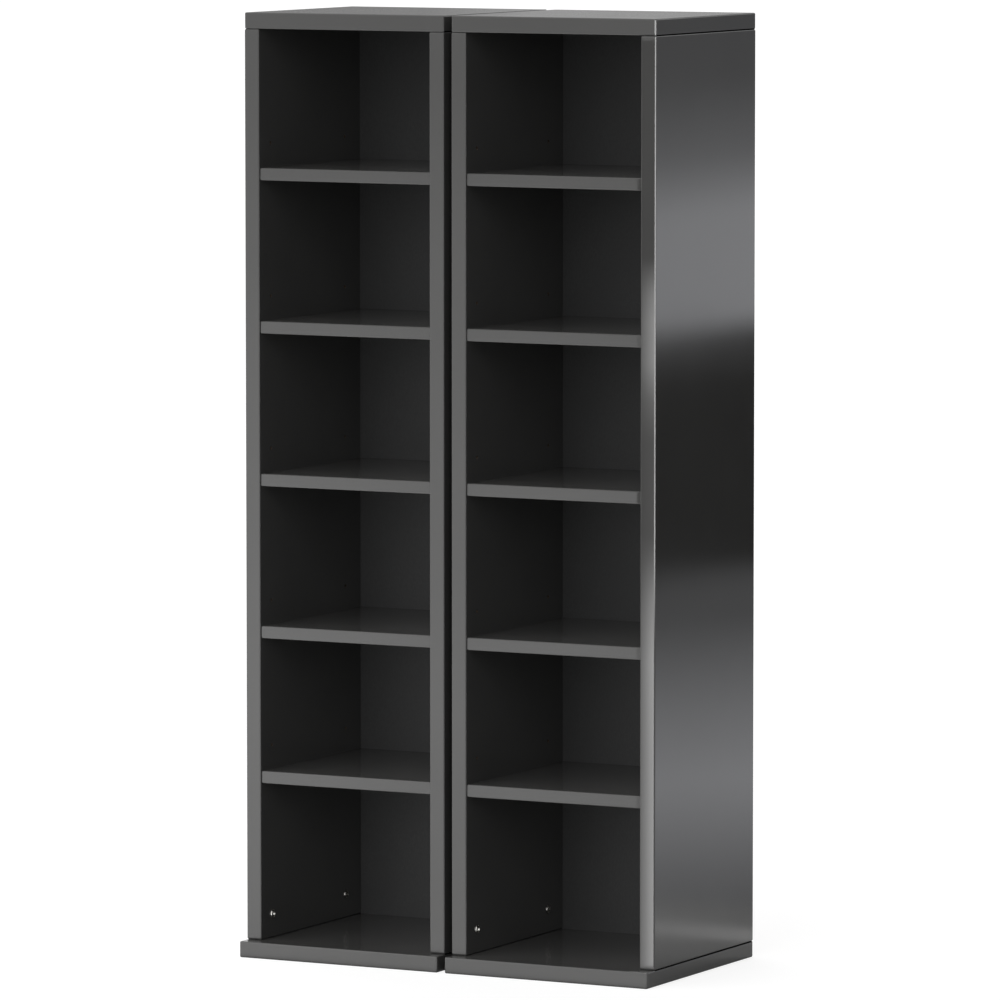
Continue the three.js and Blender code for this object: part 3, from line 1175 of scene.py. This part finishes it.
@dataclass
class SocketBolt(Part):
    """A bolt with a six-sided socket in its sunk head and a thread on the end of its shank."""

    sides: int = 32
    shank_radius: float = 0.0025
    head_height: float = 0.003
    head_edge: float = 0.0005
    head_facets: int = 3
    socket_radius: float = 0.0023
    socket_depth: float = 0.0018
    socket_sides: int = 6
    thread_length: float = 0.022
    thread_pitch: float = 0.0008
    thread_depth: float = 0.0004

    slot = Slot.FITTING

    def shape(self) -> None:
        """Makes the bolt from a disc, drawn out step by step."""
        radius = (self.high.y - self.low.y) / 2
        foot = Vector((self.middle.x, self.middle.y, self.low.z))
        nickel = self.paints.nickel
        self.piece = add_rod(self.name, nickel, radius, foot, Axis.Z, self.head_height, self.sides)
        round_edges(self.piece, self.head_edge, self.head_facets, lying_at(Axis.Z, self.low.z))
        seat = self.low.z + self.head_height
        turns = round(self.thread_length / self.thread_pitch)
        plain = self.high.z - seat - turns * self.thread_pitch
        root_share = 1.0 - self.thread_depth / self.shank_radius
        with editing(self.piece, Pick.FACE, lying_at(Axis.Z, seat)):
            bpy.ops.mesh.inset(thickness=radius - self.shank_radius)
            self.draw(plain)
            level = seat + plain
            for share in (root_share, 1.0 / root_share) * turns:
                level += self.thread_pitch / 2
                self.draw(self.thread_pitch / 2)
                centre = (foot.x, foot.y, level)
                bpy.ops.transform.resize(value=(share, share, 1.0), center_override=centre)
        reach = self.socket_depth + OVERRUN
        start = foot - Axis.Z.vector * OVERRUN
        self.cut(add_rod("key", nickel, self.socket_radius, start, Axis.Z, reach, self.socket_sides))

    def draw(self, length: float) -> None:
        """Extrudes the selected end straight up."""
        bpy.ops.mesh.extrude_region_move(TRANSFORM_OT_translate={"value": (0.0, 0.0, length)})


# A tower put together


def first(node: str) -> str:
    """The full name of a node of the first tower."""
    return f"{Tower.LEFT.value}_{node}"


@dataclass
class StorageTowers:
    """Both towers: each kind of piece is made once and copied to all of its places."""

    paints: Paints
    shelf_count: int = 5
    front_row_setback: float = 0.023
    rear_row_setback: float = 0.045
    dowel_front_setback: float = 0.055
    dowel_rear_setback: float = 0.075
    spare_hole_rise: float = 0.0235
    kerf_lead: float = 0.0003

    def __post_init__(self) -> None:
        """Reads the planes and rows that the pieces share from the first tower."""
        self.side_low, side_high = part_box(first("left_side"))
        back_low, back_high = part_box(first("back_sheet"))
        front, rear = self.side_low.y, side_high.y
        self.shared = {
            "back_middle": (back_low.y + back_high.y) / 2,
            "dowel_rows": (front + self.dowel_front_setback, rear - self.dowel_rear_setback),
        }
        self.rows = (front + self.front_row_setback, rear - self.rear_row_setback)

    def make(self) -> None:
        """Makes every piece of both towers."""
        self.make_end_boards()
        self.make_sides()
        self.spread(BackSheet(first("back_sheet"), self.paints), {"back_sheet": "back_hardboard"})
        self.make_shelves()
        self.make_wires()
        self.make_base_fittings()

    def spread(self, part: Part, *groups: dict[str, str]) -> None:
        """Makes a piece, copies it to all of its places and puts each copy on its body.

        Args:
            part: The piece in the first of its places.
            groups: The end of each piece's name by the end of its node's; a group is filled in
                both towers before the next one.
        """
        names = [
            (tower.value, f"{tower.value}_{node}", f"{tower.value}_{name}")
            for group in groups
            for tower in Tower
            for node, name in group.items()
        ]
        master = part.make(names[0][2])
        pieces = []
        for _, node, _ in names:
            piece = master
            if node != part.node:
                piece = master.copy()
                piece.data = master.data.copy()
                piece.data.transform(Matrix.Translation(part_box(node)[0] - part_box(part.node)[0]))
                bpy.context.scene.collection.objects.link(piece)
            pieces.append(piece)
        for piece, (tower, node, name) in zip(pieces, names):
            body = node if part.loose else tower
            piece.name = name
            piece.data.name = name
            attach(piece, body)
            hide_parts(node)
            LOG.info("%s stands for %s on %s", name, node, body)

    def make_end_boards(self) -> None:
        """Makes the bases and the tops."""
        shared = {"side_front": self.side_low.y, **self.shared}
        base = EndBoard(first("base_panel"), self.paints, bolt_rows=self.rows, **shared)
        top = EndBoard(first("top_panel"), self.paints, into=-1, **shared)
        self.spread(base, {"base_panel": "base_board"})
        self.spread(top, {"top_panel": "top_board"})

    def make_sides(self) -> None:
        """Makes the sides, left and right by turns."""
        levels = []
        for number in range(1, self.shelf_count + 1):
            low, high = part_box(first(f"shelf_{number}"))
            levels += [(low.z + high.z) / 2, high.z + self.spare_hole_rise]
        nut_low, nut_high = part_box(first("barrel_nut_left_front"))
        for wall in Wall:
            node = f"{wall.label}_side"
            side = SideBoard(
                first(node),
                self.paints,
                wall=wall,
                wire_levels=tuple(levels),
                nut_level=(nut_low.z + nut_high.z) / 2,
                bolt_rows=self.rows,
                **self.shared,
            )
            self.spread(side, {node: f"{node}_board"})

    def make_shelves(self) -> None:
        """Makes the loose shelves."""
        wire_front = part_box(first("wire_1_left"))[0].y
        shelf = ShelfBoard(first("shelf_1"), self.paints, kerf_start=wire_front - self.kerf_lead)
        nodes = [f"shelf_{number}" for number in range(1, self.shelf_count + 1)]
        self.spread(shelf, {node: f"{node}_board" for node in nodes})

    def make_wires(self) -> None:
        """Makes the wires that carry the shelves."""
        for wall in Wall:
            nodes = [f"wire_{number}_{wall.label}" for number in range(1, self.shelf_count + 1)]
            wire = SupportWire(first(nodes[0]), self.paints, wall)
            self.spread(wire, {node: f"{node}_bent" for node in nodes})

    def make_base_fittings(self) -> None:
        """Makes the barrel nuts and the bolts that hold the base."""
        bolts = []
        for wall in Wall:
            ends = [f"{wall.label}_{row.value}" for row in Row]
            bolts.append({f"bolt_{end}": f"bolt_{end}_turned" for end in ends})
            bolt_node = first(f"bolt_{ends[0]}")
            nut = BarrelNut(first(f"barrel_nut_{ends[0]}"), self.paints, wall, bolt_node)
            self.spread(nut, {f"barrel_nut_{end}": f"barrel_nut_{end}_turned" for end in ends})
        self.spread(SocketBolt(first("bolt_left_front"), self.paints), *bolts)


# The studio


@dataclass(frozen=True, kw_only=True)
class Card(CardFinish):
    """An upright card that only reflections show, with its place, width and turn."""

    x: float
    y: float
    width: float
    turn_deg: float

    def add(self) -> None:
        """Adds the card."""
        low, high = self.bands[0][0], self.bands[-1][0]
        deselect()
        bpy.ops.mesh.primitive_plane_add(
            size=1,
            location=(self.x, self.y, (low + high) / 2),
            rotation=(QUARTER, 0.0, -math.radians(self.turn_deg)),
        )
        bpy.context.object.scale = (self.width, high - low, 1.0)
        plane = settle(self.name, self.build())
        plane.visible_camera = False
        plane.visible_diffuse = False
        plane.visible_transmission = False
        plane.visible_shadow = False


@dataclass(frozen=True)
class Lamp:
    """A wide soft light from far away, with how strongly it lights a surface that faces it."""

    name: str
    level: float
    azimuth_deg: float
    elevation_deg: float
    spread_deg: float

    def add(self) -> None:
        """Adds the light."""
        azimuth, elevation = math.radians(self.azimuth_deg), math.radians(self.elevation_deg)
        across = math.cos(elevation)
        way = Vector((math.sin(azimuth) * across, -math.cos(azimuth) * across, math.sin(elevation)))
        light = bpy.data.lights.new(self.name, "SUN")
        light.energy = self.level * math.pi
        light.angle = math.radians(self.spread_deg)
        holder = bpy.data.objects.new(self.name, light)
        holder.rotation_euler = way.to_track_quat("Z", "Y").to_euler()
        holder.visible_glossy = False
        bpy.context.scene.collection.objects.link(holder)


@dataclass
class Studio:
    """The floor, the light, the cards and the camera."""

    floor_size: float = 60.0
    sky_fill: float = 0.26
    lamps: tuple[Lamp, ...] = (
        Lamp("key_light", 0.6, -32.0, 34.0, 80.0),
        Lamp("front_light", 0.42, 16.0, 14.0, 60.0),
        Lamp("rear_light", 0.55, -140.0, 30.0, 60.0),
    )
    lens_mm: float = 284.38
    sensor_mm: float = 36.0
    camera_place: Triple = (3.5505, -6.8408, 1.1684)
    camera_yaw_deg: float = 27.403
    camera_pitch_deg: float = 5.309
    cards: tuple[Card, ...] = (
        Card(
            name="side_card", x=0.85, y=0.42, width=1.2, turn_deg=0.0,
            bands=(
                (0.0, 0.49), (0.03, 0.62), (0.105, 1.1), (0.13, 1.23), (0.2, 0.88), (0.255, 0.55),
                (0.297, 0.29), (0.32, 0.3), (0.338, 0.24), (0.358, 0.0), (0.54, 0.0), (0.583, 0.15),
                (0.607, 1.28), (0.714, 1.28), (0.77, 0.6), (0.85, 0.29), (0.965, 0.27),
            ),
            tint=(0.98, 0.99, 1.03), lean=0.14, lean_from=0.42,
        ),
        Card(
            name="top_card", x=-0.6, y=1.1, width=2.4, turn_deg=-27.4,
            bands=((0.94, 0.42), (2.3, 0.42)),
            shares=((-0.65, 0.67), (-0.55, 1.0)),
        ),
        Card(
            name="front_card", x=-0.138, y=-0.368, width=0.5, turn_deg=27.4,
            bands=((0.0, 2.2), (0.22, 2.45), (0.42, 2.05), (0.62, 1.72), (0.86, 1.08), (1.1, 0.95)),
            shares=((-0.36, 1.0), (-0.16, 0.8), (0.08, 0.75)),
        ),
        Card(
            name="edge_card", x=0.212, y=-0.1135, width=0.0268, turn_deg=27.4,
            bands=(
                (0.018, 6.0), (0.315, 6.4), (0.354, 4.9), (0.375, 3.9), (0.411, 1.5), (0.435, 0.5),
                (0.526, 0.5), (0.565, 1.8), (0.6, 4.6), (0.641, 4.7), (0.665, 3.5), (0.7, 0.0),
                (0.908, 0.0),
            ),
            shares=((0.2, 0.16), (0.2036, 0.18), (0.2104, 0.56), (0.2171, 0.95), (0.2205, 1.05)),
        ),
        Card(
            name="rim_card", x=0.22835, y=-0.10573, width=0.013, turn_deg=-50.0,
            bands=((0.018, 0.6), (0.33, 0.6), (0.42, 8.5), (0.93, 8.5)),
        ),
    )

    def build(self) -> None:
        """Sets up the floor, the light, the cards and the camera."""
        self.add_floor()
        self.add_sky()
        for fixture in (*self.lamps, *self.cards):
            fixture.add()
        self.add_camera()
        bpy.context.scene.view_settings.view_transform = "Standard"

    def add_floor(self) -> None:
        """Adds the pale floor."""
        deselect()
        bpy.ops.mesh.primitive_plane_add(size=self.floor_size)
        settle("floor", FloorFinish().build())

    def add_sky(self) -> None:
        """Makes a world that is white to the eye and in reflections, and dim as a light."""
        graph = Graph("studio", Owner.WORLD)
        path = graph.add("LightPath").outputs
        seen = graph.compute("MAXIMUM", path["Is Camera Ray"], path["Is Glossy Ray"])
        seen = graph.compute("MAXIMUM", seen, path["Is Transmission Ray"])
        level = graph.spread(seen, UNIT, (self.sky_fill, 1.0))
        sky = graph.add("Background", {"Color": EVEN, "Strength": level})
        bpy.context.scene.world = graph.end(sky.outputs["Background"])

    def add_camera(self) -> None:
        """Adds the camera at the photograph's place and angle."""
        lens = bpy.data.cameras.new("photo_camera")
        lens.sensor_width = self.sensor_mm
        lens.lens = self.lens_mm
        camera = bpy.data.objects.new("photo_camera", lens)
        pitch, yaw = math.radians(self.camera_pitch_deg), math.radians(self.camera_yaw_deg)
        camera.location = self.camera_place
        camera.rotation_euler = (QUARTER - pitch, 0.0, yaw)
        bpy.context.scene.collection.objects.link(camera)
        bpy.context.scene.camera = camera


def main() -> None:
    """Makes the towers and the studio."""
    logging.basicConfig(level=logging.INFO, format="%(message)s")
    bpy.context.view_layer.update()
    StorageTowers(Paints()).make()
    Studio().build()


if __name__ == "__main__":
    main()
